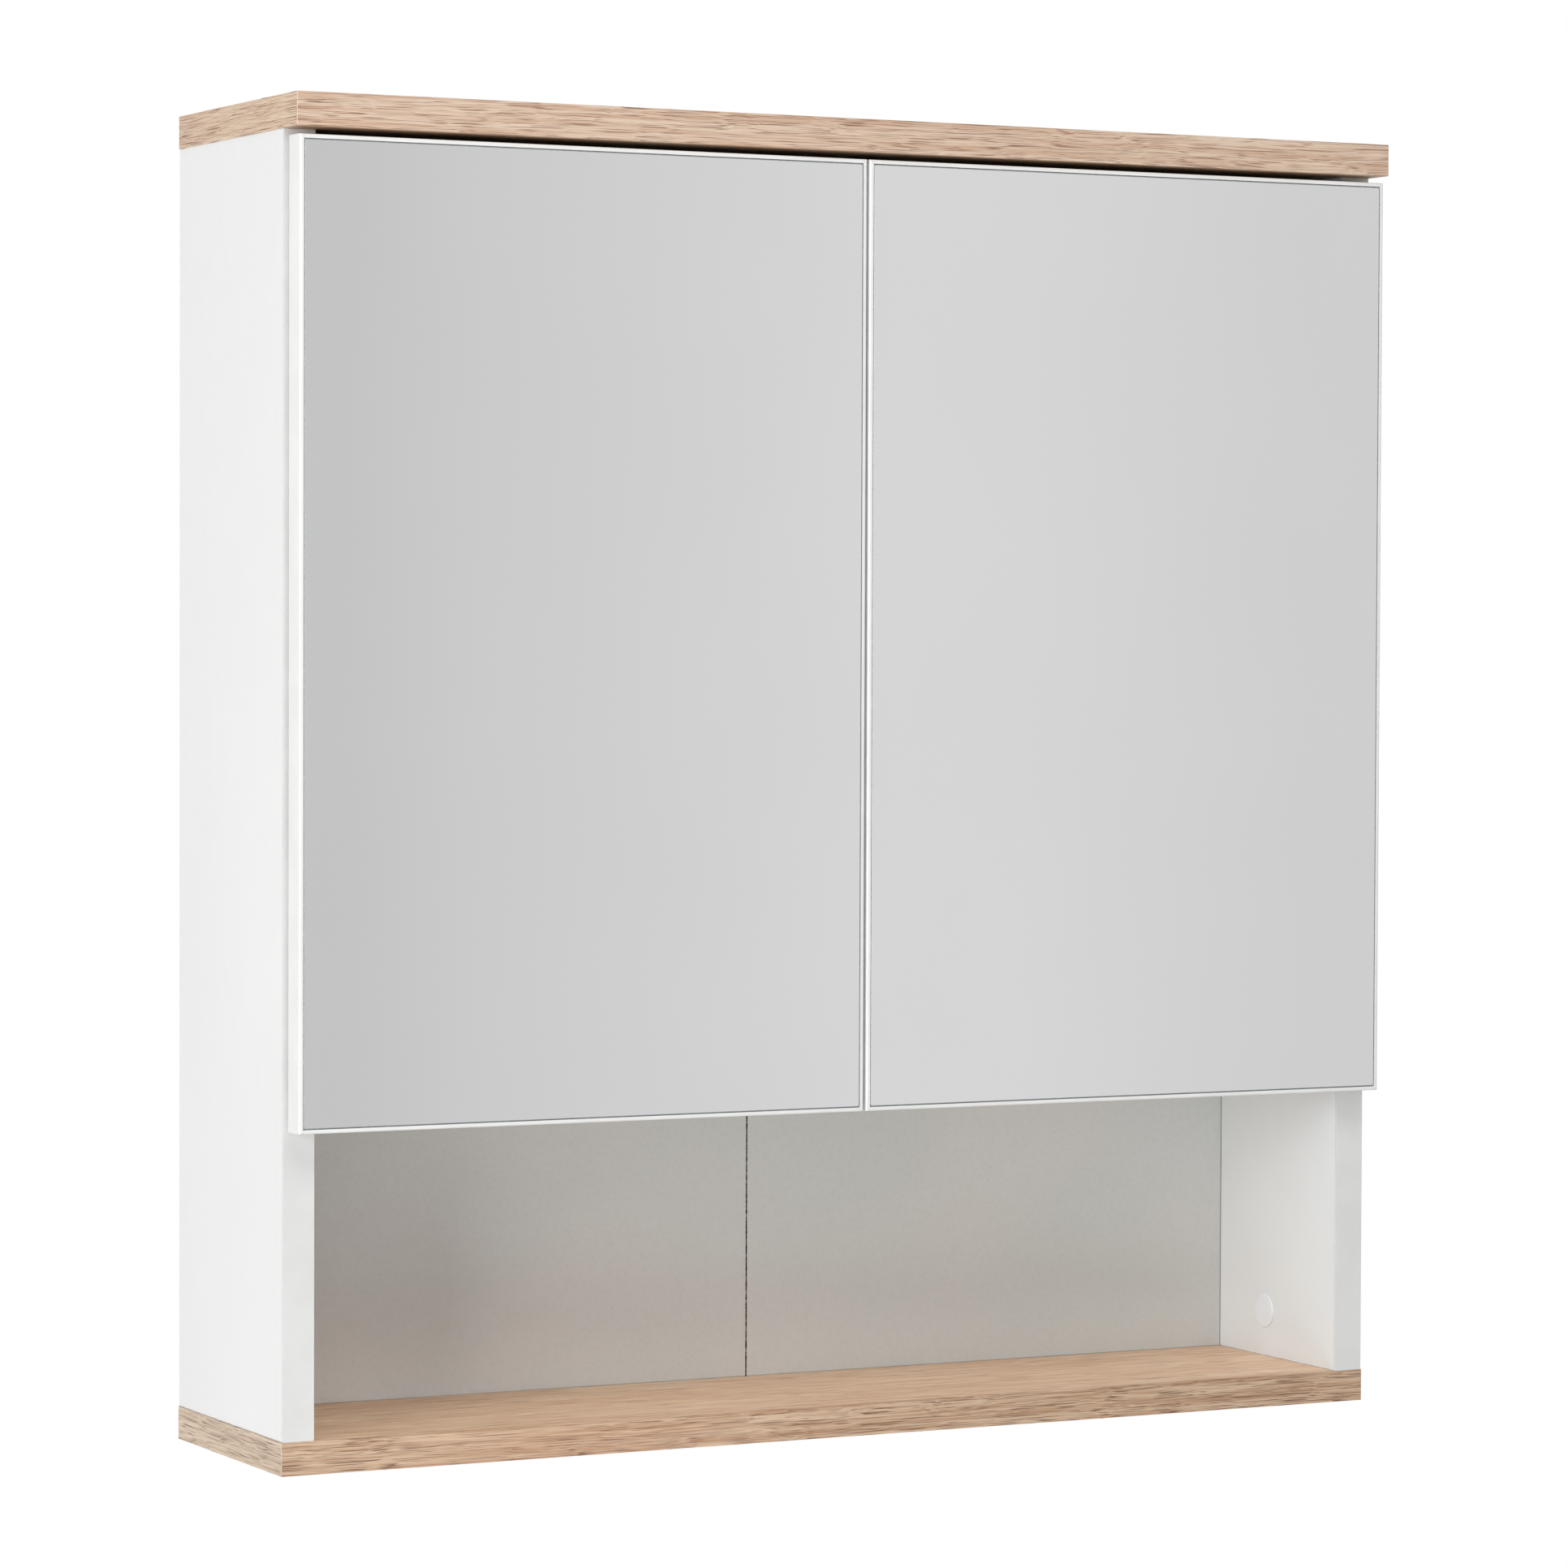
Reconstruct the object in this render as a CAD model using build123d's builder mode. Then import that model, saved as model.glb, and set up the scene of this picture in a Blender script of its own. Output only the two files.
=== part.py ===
from build123d import *
import math
import os

# Hanging bathroom wall cabinet: two mirror doors over an open niche.
# Frame: +X to the viewer's right, the front faces -Y, +Z up, millimetres.
# The wall plane is y = 0; x = 0 is the middle; z = 0 is the height of the wall hook slots.

# ---------------------------------------------------------------- driving sizes
width = 600.0                # over the outer faces of the side panels
height = 648.0               # over the top and bottom boards
side_depth = 136.0           # wall plane to the front edges of the side panels
board = 16.0                 # melamine board thickness
top_overhang = 18.0          # top board beyond the side panels' front edges
edge_band = 0.5              # foil edge band on the boards
hook_from_top = 56.0         # wall hook slots below the top of the cabinet

back_thickness = 3.0         # hardboard back
back_recess = 20.0           # wall plane to the rear of the back panel
groove_depth = 6.5           # groove that holds the back panel
groove_play = 0.1            # free space on each side of the back panel in its groove
fold_gap = 0.4               # gap between the two halves of the folding back
tape_width = 30.0
tape_thickness = 0.3

door_height = 466.0
door_top_gap = 3.5           # under the top board
door_reveal = 1.5            # side panel's outer face to the door's outer edge
door_middle_gap = 1.5        # between the two doors
door_rear_gap = 1.5          # side panel's front edge to the back of the door
core_thickness = 12.0
mirror_thickness = 3.0
band_thickness = 2.0         # thick edge band framing each mirror
band_front_round = 1.0
band_hinge_round = 1.9       # rear edge beside the hinges, rounded so that it clears the side panel
band_joint = 0.1             # hairline between two bands that meet at a corner
mirror_play = 0.15           # mirror to the thick bands around it
bumper_radius = 4.0
bumper_gap = 0.3             # bumper to the cabinet floor's front edge
bumper_inset = 30.0          # bumpers from both vertical edges of the door

floor_over_door_edge = 15.5  # the cabinet floor's underside above the doors' lower edge
shelf_count = 2
shelf_thickness = 16.0
shelf_front_setback = 17.0
shelf_play = 1.0             # shelf ends to the side panels, and shelf rear to the back panel
shelf_band_thickness = 0.5
pin_radius = 2.5             # shelf pins
pin_hole_depth = 9.0
pin_reach = 8.0              # pin's shelf-carrying part, out of the side panel
pin_collar_radius = 4.0
pin_collar_thickness = 1.0
pin_inset = 22.0             # pin rows from the shelf's front and rear edges

cam_radius = 7.5
cam_depth = 12.5
cam_reach = 24.0             # cam centre from the joint face
cam_play = 0.1
cam_slot = 7.6               # mouth of the cam for the bolt head
cap_radius = 9.0
cap_thickness = 1.4
cap_dome = 0.9               # rounding of the cap's rim
cap_stem_radius = 2.0
cap_stem_length = 3.0
bolt_radius = 3.0
bolt_head_radius = 3.5
bolt_head_height = 3.0
bolt_bore_radius = 4.0
bolt_thread_radius = 2.5
bolt_thread_length = 11.0
dowel_radius = 4.0
dowel_in_face = 11.0
dowel_in_edge = 19.0
dowel_play = 0.05
dowel_end_gap = 1.0          # glue space beyond the dowel
dowel_inset = 32.0           # dowels from the front and rear of each joint

hanger_leg_height = 60.0
hanger_sheet = 2.0
hanger_flange = 40.0         # flange width along the wall
hanger_play = 0.5            # hanger to the back panel
slot_width = 8.0
slot_length = 20.0
slot_from_side = 22.0        # slot centre from the side panel's inner face
hanger_screw_spacing = 36.0

pivot_from_edge = 5.5        # hinge pin from the door's outer edge
hinge_inset = 82.0           # hinges from the door's top and bottom edges
pin_r = 1.0                  # hinge pin
pin_fit = 0.05               # running clearance of the arm's eye on the pin
pin_seat = 0.02              # pin in the cup's end walls
eye_wall = 0.65
arm_sheet = 1.8
arm_width = 12.0
arm_tail = 46.0              # arm behind the side panel's front edge
arm_bend = 2.5               # middle radius of the arm's bend
cup_wall = 0.5
cup_floor = 0.8
cup_skin = 0.8               # board left under the cup
cup_round_radius = 13.0
cup_from_edge = 3.0          # flat side of the cup from the door's outer edge
eye_gap = 0.7                # arm's eye to the floor of the cup
arm_swing_gap = 1.0          # arm's outer corner to the cup's wall as it swings
cup_play = 0.1
wing_reach = 24.0
wing_thickness = 0.8
wing_inner = 5.0             # flange wings from the door's outer edge
wing_outer = 19.0
wing_screw_reach = 18.5
wing_round = 3.0
plate_thickness = 2.0
plate_front = 12.0
plate_length = 34.0
plate_half_height = 7.5
plate_wing_reach = 22.0
plate_wing_length = 13.0
plate_round = 1.0
system_line = 37.0           # plate screws behind the side panel's front edge
plate_screw_reach = 16.0
arm_screw_line = 22.0
arm_screw_radius = 2.0
screw_radius = 1.75
screw_head_radius = 3.4
screw_head_height = 1.8
flat_head_radius = 3.2
flat_head_height = 1.5
screw_play = 0.05
plate_screw_length = 11.0
cup_screw_length = 8.5
drive_width = 1.0            # cross recess in the screw heads
drive_length = 3.6
drive_depth = 0.9
selection_reach = 0.01       # tolerance for picking edges by place

# ---------------------------------------------------------------- derived places
half_width = width / 2
front_y = -side_depth
top_z = hook_from_top
base_z = top_z - height
niche_z = base_z + board                      # bottom board's upper face
roof_z = top_z - board                        # top board's underside
top_front_y = front_y - top_overhang
inner_x = half_width - board
back_rear_y = -back_recess
back_front_y = back_rear_y - back_thickness
groove_front_y = back_front_y - groove_play
groove_rear_y = back_rear_y + groove_play
door_rear_y = front_y - door_rear_gap
door_thickness = core_thickness + mirror_thickness
door_top_z = roof_z - door_top_gap
door_base_z = door_top_z - door_height
floor_z = door_base_z + floor_over_door_edge  # cabinet floor's underside
floor_top_z = floor_z + board
shelf_pitch = (roof_z - floor_top_z - shelf_count * shelf_thickness) / (shelf_count + 1)
shelf_front_y = front_y + shelf_front_setback
shelf_rear_y = back_front_y - shelf_play
joint_y = front_y / 2                         # cams sit in the middle of the depth
dowel_ys = (front_y + dowel_inset, -dowel_inset)
pin_ys = (shelf_front_y + pin_inset, shelf_rear_y - pin_inset)
floor_dowel_ys = (front_y + dowel_inset, back_front_y - dowel_inset / 2)
hanger_reach = -back_rear_y - hanger_play
cup_depth = core_thickness - cup_skin
eye_radius = pin_r + pin_fit + eye_wall
pivot_from_rear = cup_depth - cup_floor - eye_gap - eye_radius
pivot_x = half_width - door_reveal - pivot_from_edge
pivot_y = door_rear_y - pivot_from_rear
arm_face = board + plate_thickness            # arm's flat side from the side panel's outer face
pivot_in = door_reveal + pivot_from_edge      # pivot inward from the side panel's outer face
pivot_out = -door_rear_gap - pivot_from_rear  # pivot from the side panels' front plane
arm_reach = math.hypot(arm_face + arm_sheet - pivot_in, eye_radius)
cup_half_chord = math.sqrt((cup_round_radius - cup_wall) ** 2 - (arm_width / 2) ** 2)
cup_round_centre = pivot_from_edge + arm_reach + arm_swing_gap - cup_half_chord
hinge_zs = {"upper": door_top_z - hinge_inset, "lower": door_base_z + hinge_inset}
sides = {"left": -1, "right": 1}
level_names = ("lower", "upper")


def finish(builder, label):
    """Label the piece and write it under its node name."""
    builder.part.label = label
    export_step(builder.part, f"parts/{label}.step")


def block(x_span, y_span, z_span, mode=Mode.ADD):
    """A box between two limits along each axis, in the open builder."""
    spans = [sorted(span) for span in (x_span, y_span, z_span)]
    centre = tuple((low + high) / 2 for low, high in spans)
    size = [high - low for low, high in spans]
    with Locations(centre):
        Box(*size, mode=mode)


def rod(start, direction, length, radius, mode=Mode.ADD):
    """A cylinder from a start point along a direction, in the open builder."""
    with Locations(Plane(origin=start, z_dir=direction)):
        Cylinder(radius, length, align=(Align.CENTER, Align.CENTER, Align.MIN), mode=mode)


def screw(start, direction, length, radius=screw_radius, head_radius=screw_head_radius):
    """A pan-head screw: start lies under the head, direction points to the tip."""
    back = tuple(-value for value in direction)
    rod(start, direction, length, radius)
    rod(start, back, screw_head_height, head_radius)
    floor = Vector(start) + Vector(back) * (screw_head_height - drive_depth / 2)
    with Locations(Plane(origin=floor, z_dir=back)):
        Box(drive_length, drive_width, drive_depth, mode=Mode.SUBTRACT)
        Box(drive_width, drive_length, drive_depth, mode=Mode.SUBTRACT)


def countersink(start, direction, grow=0, mode=Mode.ADD):
    """The cone under a flat screw head: start is the middle of the head's upper face."""
    with Locations(Plane(origin=start, z_dir=direction)):
        Cone(flat_head_radius + grow, screw_radius + grow, flat_head_height,
             align=(Align.CENTER, Align.CENTER, Align.MIN), mode=mode)


def flat_screw(start, direction, length):
    """A countersunk screw: start is the middle of its head, direction points to the tip."""
    rod(start, direction, length, screw_radius)
    countersink(start, direction)
    with Locations(Plane(origin=start, z_dir=direction)):
        Box(drive_length, drive_width, 2 * drive_depth, mode=Mode.SUBTRACT)
        Box(drive_width, drive_length, 2 * drive_depth, mode=Mode.SUBTRACT)


def lying_at(edges, axis, place):
    """The edges whose middle lies at one place along an axis."""
    return edges.filter_by_position(axis, place - selection_reach, place + selection_reach)


def inward(sign, distance):
    """X of a point at a distance inward from the outer face of one side panel."""
    return sign * (half_width - distance)


def level_z(level):
    """Underside of a shelf, counted from the bottom."""
    return floor_top_z + shelf_pitch + level * (shelf_pitch + shelf_thickness)


os.makedirs("parts", exist_ok=True)

# ---------------------------------------------------------------- top and bottom boards
# Upright joints: cam bolt and dowels stand in the board and reach into the side panel's end.
for board_name, face_z, outward, board_front_y in (
    ("top", roof_z, 1, top_front_y),
    ("bottom", niche_z, -1, front_y),
):
    outer_z = face_z + outward * board
    rear_groove = (face_z, face_z + outward * groove_depth)
    with BuildPart() as board_part:
        block((-half_width, half_width), (board_front_y + edge_band, 0), (face_z, outer_z))
        block((-inner_x - groove_depth, inner_x + groove_depth), (groove_front_y, groove_rear_y),
              rear_groove, mode=Mode.SUBTRACT)
        for sign in sides.values():
            joint_x = sign * (half_width - board / 2)
            rod((joint_x, joint_y, face_z), (0, 0, outward), bolt_thread_length + dowel_end_gap,
                bolt_thread_radius + screw_play, mode=Mode.SUBTRACT)
            for dowel_y in dowel_ys:
                rod((joint_x, dowel_y, face_z), (0, 0, outward), dowel_in_face + dowel_end_gap,
                    dowel_radius + dowel_play, mode=Mode.SUBTRACT)
    finish(board_part, f"{board_name}_board")

    # One band along the front, one on each end behind it.
    with BuildPart() as board_bands:
        block((-half_width - edge_band, half_width + edge_band),
              (board_front_y, board_front_y + edge_band), (face_z, outer_z))
        for sign in sides.values():
            block((sign * half_width, sign * (half_width + edge_band)),
                  (board_front_y + edge_band + band_joint, 0), (face_z, outer_z))
    finish(board_bands, f"{board_name}_board_bands")

# ---------------------------------------------------------------- side panels
for side, sign in sides.items():
    joint_x = sign * (half_width - board / 2)
    with BuildPart() as side_panel:
        block((sign * half_width, sign * inner_x), (front_y + edge_band, 0), (niche_z, roof_z))
        block((sign * inner_x, sign * (inner_x + groove_depth)), (groove_front_y, groove_rear_y),
              (niche_z, roof_z), mode=Mode.SUBTRACT)
        for end_z, up in ((niche_z, 1), (roof_z, -1)):
            rod((sign * inner_x, joint_y, end_z + up * cam_reach), (sign, 0, 0),
                cam_depth + cam_play, cam_radius + cam_play, mode=Mode.SUBTRACT)
            rod((joint_x, joint_y, end_z), (0, 0, up), cam_reach, bolt_bore_radius,
                mode=Mode.SUBTRACT)
            for dowel_y in dowel_ys:
                rod((joint_x, dowel_y, end_z), (0, 0, up), dowel_in_edge + dowel_end_gap,
                    dowel_radius + dowel_play, mode=Mode.SUBTRACT)
        # cabinet floor joint
        rod((sign * inner_x, joint_y, floor_z + board / 2), (sign, 0, 0),
            bolt_thread_length + dowel_end_gap, bolt_thread_radius + screw_play,
            mode=Mode.SUBTRACT)
        for dowel_y in floor_dowel_ys:
            rod((sign * inner_x, dowel_y, floor_z + board / 2), (sign, 0, 0),
                dowel_in_face + dowel_end_gap, dowel_radius + dowel_play, mode=Mode.SUBTRACT)
        # shelf pin holes
        for level in range(shelf_count):
            for pin_y in pin_ys:
                rod((sign * inner_x, pin_y, level_z(level) - pin_radius), (sign, 0, 0),
                    pin_hole_depth, pin_radius + screw_play, mode=Mode.SUBTRACT)
        # hinge plate and wall hanger screw holes
        for hinge_z in hinge_zs.values():
            for reach in (-plate_screw_reach, plate_screw_reach):
                rod((sign * inner_x, front_y + system_line, hinge_z + reach), (sign, 0, 0),
                    plate_screw_length, screw_radius + screw_play, mode=Mode.SUBTRACT)
        for reach in (-hanger_screw_spacing / 2, hanger_screw_spacing / 2):
            rod((sign * inner_x, -hanger_reach / 2, reach), (sign, 0, 0),
                plate_screw_length, screw_radius + screw_play, mode=Mode.SUBTRACT)
    finish(side_panel, f"side_panel_{side}")

with BuildPart() as side_bands:
    for sign in sides.values():
        block((sign * half_width, sign * inner_x), (front_y, front_y + edge_band),
              (niche_z, roof_z))
finish(side_bands, "side_panel_bands")

# ---------------------------------------------------------------- cabinet floor over the niche
with BuildPart() as cabinet_floor:
    block((-inner_x, inner_x), (front_y + edge_band, back_front_y), (floor_z, floor_top_z))
    for sign in sides.values():
        rod((sign * (inner_x - cam_reach), joint_y, floor_z), (0, 0, 1), cam_depth + cam_play,
            cam_radius + cam_play, mode=Mode.SUBTRACT)
        rod((sign * inner_x, joint_y, floor_z + board / 2), (-sign, 0, 0), cam_reach,
            bolt_bore_radius, mode=Mode.SUBTRACT)
        for dowel_y in floor_dowel_ys:
            rod((sign * inner_x, dowel_y, floor_z + board / 2), (-sign, 0, 0),
                dowel_in_edge + dowel_end_gap, dowel_radius + dowel_play, mode=Mode.SUBTRACT)
finish(cabinet_floor, "cabinet_floor")

with BuildPart() as floor_band:
    block((-inner_x, inner_x), (front_y, front_y + edge_band), (floor_z, floor_top_z))
finish(floor_band, "cabinet_floor_band")

# ---------------------------------------------------------------- shelves and their pins
for level, level_name in enumerate(level_names[:shelf_count]):
    shelf_z = level_z(level)
    shelf_x = inner_x - shelf_play
    with BuildPart() as shelf:
        block((-shelf_x, shelf_x), (shelf_front_y + shelf_band_thickness, shelf_rear_y),
              (shelf_z, shelf_z + shelf_thickness))
        # the pins' collars sit in shallow notches at the shelf's ends
        for sign in sides.values():
            for pin_y in pin_ys:
                rod((sign * inner_x, pin_y, shelf_z - pin_radius), (-sign, 0, 0),
                    shelf_play + pin_collar_thickness + cam_play,
                    pin_collar_radius + cam_play, mode=Mode.SUBTRACT)
    finish(shelf, f"shelf_{level_name}")

    with BuildPart() as pins:
        for sign in sides.values():
            for pin_y in pin_ys:
                start = (sign * inner_x, pin_y, shelf_z - pin_radius)
                rod(start, (sign, 0, 0), pin_hole_depth - dowel_end_gap, pin_radius)
                rod(start, (-sign, 0, 0), pin_reach, pin_radius)
                rod(start, (-sign, 0, 0), pin_collar_thickness, pin_collar_radius)
    finish(pins, f"shelf_pins_{level_name}")

with BuildPart() as shelf_bands:
    for level in range(shelf_count):
        block((-inner_x + shelf_play, inner_x - shelf_play),
              (shelf_front_y, shelf_front_y + shelf_band_thickness),
              (level_z(level), level_z(level) + shelf_thickness))
finish(shelf_bands, "shelf_bands")

# ---------------------------------------------------------------- folding back panel
back_edge_x = inner_x + groove_depth - groove_play
back_low_z = niche_z - groove_depth + groove_play
back_high_z = roof_z + groove_depth - groove_play
for side, sign in sides.items():
    with BuildPart() as back_half:
        block((sign * fold_gap / 2, sign * back_edge_x), (back_front_y, back_rear_y),
              (back_low_z, back_high_z))
    finish(back_half, f"back_panel_{side}")

with BuildPart() as fold_tape:
    block((-tape_width / 2, tape_width / 2), (back_rear_y, back_rear_y + tape_thickness),
          (niche_z + groove_play, roof_z - groove_play))
finish(fold_tape, "back_fold_tape")


# ---------------------------------------------------------------- cam joints and dowels
def cam(face, depth_dir, joint_dir):
    """Cam housing: face is its centre on the board's surface, joint_dir points to the joint."""
    rod(face, depth_dir, cam_depth, cam_radius)
    middle = Vector(face) + Vector(depth_dir) * (board / 2)
    rod(middle, joint_dir, cam_radius * 2, cam_slot / 2, mode=Mode.SUBTRACT)
    # cross recess for the driver, open to the surface
    with Locations(Plane(origin=face, z_dir=depth_dir)):
        Box(drive_width, drive_length * 2, drive_depth * 2, mode=Mode.SUBTRACT)
        Box(drive_length * 2, drive_width, drive_depth * 2, mode=Mode.SUBTRACT)
        Cylinder(cap_stem_radius + cam_play, cap_stem_length * 2 + cam_play,
                 mode=Mode.SUBTRACT)


def cam_bolt(start, direction):
    """Bolt from the joint face: threaded foot behind it, shank and head in front of it."""
    foot = tuple(-value for value in direction)
    rod(start, foot, bolt_thread_length, bolt_thread_radius)
    rod(start, direction, cam_reach - bolt_head_radius, bolt_radius - 1)
    rod(start, direction, cam_reach - cam_radius - 1, bolt_radius)
    head = Vector(start) + Vector(direction) * (cam_reach - bolt_head_radius)
    rod(head, direction, bolt_head_height, bolt_head_radius)


def cam_cap(face, outward):
    """Round cover cap with a rounded rim and a short stem in the cam."""
    stem = tuple(-value for value in outward)
    rod(face, outward, cap_thickness, cap_radius)
    rod(face, stem, cap_stem_length, cap_stem_radius)


def dowel(start, into_face, into_edge):
    """Wooden dowel through a joint face, with a different length on each side."""
    rod(start, into_face, dowel_in_face, dowel_radius)
    rod(start, into_edge, dowel_in_edge, dowel_radius)


# For each joint: the cam's centre on its face, the way into that board, the joint's centre,
# the way along the board whose edge is bored, and the dowels' places along Y.
joints = {}
for joint_name, end_z, up in (("top", roof_z, -1), ("bottom", niche_z, 1)):
    joints[joint_name] = [
        {
            "cam": (sign * inner_x, joint_y, end_z + up * cam_reach),
            "into": (sign, 0, 0),
            "joint": (sign * (half_width - board / 2), joint_y, end_z),
            "edge": (0, 0, up),
            "dowel_ys": dowel_ys,
        }
        for sign in sides.values()
    ]
joints["floor"] = [
    {
        "cam": (sign * (inner_x - cam_reach), joint_y, floor_z),
        "into": (0, 0, 1),
        "joint": (sign * inner_x, joint_y, floor_z + board / 2),
        "edge": (-sign, 0, 0),
        "dowel_ys": floor_dowel_ys,
    }
    for sign in sides.values()
]

for joint_name, places in joints.items():
    with BuildPart() as cams:
        for place in places:
            cam(place["cam"], place["into"], tuple(-value for value in place["edge"]))
    finish(cams, f"cam_housings_{joint_name}")

    with BuildPart() as bolts:
        for place in places:
            cam_bolt(place["joint"], place["edge"])
    finish(bolts, f"cam_bolts_{joint_name}")

    with BuildPart() as dowels:
        for place in places:
            for dowel_y in place["dowel_ys"]:
                x, _, z = place["joint"]
                dowel((x, dowel_y, z), tuple(-value for value in place["edge"]), place["edge"])
    finish(dowels, f"dowels_{joint_name}")

    with BuildPart() as caps:
        for place in places:
            cam_cap(place["cam"], tuple(-value for value in place["into"]))
        rims = caps.edges().filter_by(GeomType.CIRCLE)
        rims = rims.filter_by(lambda edge: abs(edge.radius - cap_radius) < cap_dome)
        free_rims = [
            rim
            for rim in rims
            for place in places
            if abs((rim.arc_center - Vector(place["cam"])).length - cap_thickness) < cam_play
        ]
        fillet(free_rims, cap_dome)
    finish(caps, f"cam_caps_{joint_name}")

# ---------------------------------------------------------------- wall hangers
for side, sign in sides.items():
    hanger_z = (-hanger_leg_height / 2, hanger_leg_height / 2)
    slot_x = sign * (inner_x - slot_from_side)
    with BuildPart() as hanger:
        block((sign * inner_x, sign * (inner_x - hanger_sheet)), (-hanger_reach, 0), hanger_z)
        block((sign * inner_x, sign * (inner_x - hanger_flange)), (-hanger_sheet, 0), hanger_z)
        with BuildSketch(Plane.XZ) as slot:
            with Locations((slot_x, 0)):
                SlotOverall(slot_length, slot_width)
        extrude(amount=hanger_sheet * 2, both=True, mode=Mode.SUBTRACT)
        for reach in (-hanger_screw_spacing / 2, hanger_screw_spacing / 2):
            rod((sign * (inner_x - hanger_sheet), -hanger_reach / 2, reach), (sign, 0, 0),
                hanger_sheet, screw_radius + screw_play, mode=Mode.SUBTRACT)
    finish(hanger, f"wall_hanger_{side}")

with BuildPart() as hanger_screws:
    for sign in sides.values():
        for reach in (-hanger_screw_spacing / 2, hanger_screw_spacing / 2):
            screw((sign * (inner_x - hanger_sheet), -hanger_reach / 2, reach), (sign, 0, 0),
                  plate_screw_length)
finish(hanger_screws, "wall_hanger_screws")


# ---------------------------------------------------------------- hinges
def plan_plane(sign, z):
    """Horizontal plane at a side panel's outer front corner, x pointing inward."""
    return Plane(origin=(sign * half_width, front_y, z), x_dir=(-sign, 0, 0), z_dir=(0, 0, -sign))


def door_plane(sign, z, depth=0):
    """Upright plane in a door, at its outer edge and a depth from its back; x points inward."""
    edge_x = inward(sign, door_reveal)
    return Plane(origin=(edge_x, door_rear_y - depth, z), x_dir=(-sign, 0, 0), z_dir=(0, -1, 0))


tongue_out = pivot_out - eye_radius + arm_sheet / 2
arm_middle = arm_face + arm_sheet / 2


def cup_outline(grow):
    """D-shaped outline of the cup, in the open sketch; grow moves it outward."""
    flat = cup_from_edge - grow
    radius = cup_round_radius + grow
    with Locations(((flat + cup_round_centre) / 2, 0)):
        Rectangle(cup_round_centre - flat, 2 * radius)
    with Locations((cup_round_centre, 0)):
        Circle(radius)
    with Locations((flat - radius, 0)):
        Rectangle(2 * radius, 4 * radius, mode=Mode.SUBTRACT)


for side, sign in sides.items():
    for hinge_name, hinge_z in hinge_zs.items():
        # the arm: one bent strip, its eye round the hinge pin, its tail along the side panel
        with BuildPart() as arm:
            with BuildSketch(plan_plane(sign, hinge_z)):
                with BuildLine():
                    FilletPolyline((pivot_in, tongue_out), (arm_middle, tongue_out),
                                   (arm_middle, arm_tail), radius=arm_bend)
                trace(line_width=arm_sheet)
                with Locations((pivot_in, pivot_out)):
                    Circle(eye_radius)
                    Circle(pin_r + pin_fit, mode=Mode.SUBTRACT)
            extrude(amount=arm_width / 2, both=True)
            rod((inward(sign, arm_face), front_y + arm_screw_line, hinge_z), (-sign, 0, 0),
                arm_sheet, arm_screw_radius + screw_play, mode=Mode.SUBTRACT)
        finish(arm, f"hinge_arm_{side}_{hinge_name}")

        # the mounting plate: a strip under the arm with a screw wing above and below it
        with BuildPart() as plate:
            block((sign * inner_x, inward(sign, arm_face)),
                  (front_y + plate_front, front_y + plate_front + plate_length),
                  (hinge_z - plate_half_height, hinge_z + plate_half_height))
            block((sign * inner_x, inward(sign, arm_face)),
                  (front_y + system_line - plate_wing_length / 2,
                   front_y + system_line + plate_wing_length / 2),
                  (hinge_z - plate_wing_reach, hinge_z + plate_wing_reach))
            rounded = plate.edges().filter_by(Axis.X)
            fillet(rounded, plate_round)
            for reach in (-plate_screw_reach, plate_screw_reach):
                rod((sign * inner_x, front_y + system_line, hinge_z + reach), (-sign, 0, 0),
                    plate_thickness, screw_radius + screw_play, mode=Mode.SUBTRACT)
            rod((sign * inner_x, front_y + arm_screw_line, hinge_z), (-sign, 0, 0),
                plate_thickness, arm_screw_radius + screw_play, mode=Mode.SUBTRACT)
        finish(plate, f"hinge_plate_{side}_{hinge_name}")

with BuildPart() as plate_screws:
    for sign in sides.values():
        for hinge_z in hinge_zs.values():
            for reach in (-plate_screw_reach, plate_screw_reach):
                screw((inward(sign, arm_face), front_y + system_line, hinge_z + reach),
                      (sign, 0, 0), plate_screw_length)
finish(plate_screws, "hinge_plate_screws")

with BuildPart() as arm_screws:
    for sign in sides.values():
        for hinge_z in hinge_zs.values():
            screw((inward(sign, arm_face + arm_sheet), front_y + arm_screw_line, hinge_z),
                  (sign, 0, 0), arm_sheet + plate_thickness, radius=arm_screw_radius)
finish(arm_screws, "hinge_arm_screws")

# ---------------------------------------------------------------- doors
door_low_x = door_middle_gap / 2
door_high_x = half_width - door_reveal
core_low_x = door_low_x + band_thickness
core_high_x = door_high_x - band_thickness
core_base_z = door_base_z + band_thickness
core_top_z = door_top_z - band_thickness
core_front_y = door_rear_y - core_thickness
door_front_y = door_rear_y - door_thickness
cup_screw_x = half_width - door_reveal - (wing_inner + wing_outer) / 2
cup_screw_y = door_rear_y + wing_thickness
bumper_thickness = door_rear_gap - bumper_gap
bumper_z = floor_z + board / 2
bumper_xs = (door_low_x + bumper_inset, door_high_x - bumper_inset - board)

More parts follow.
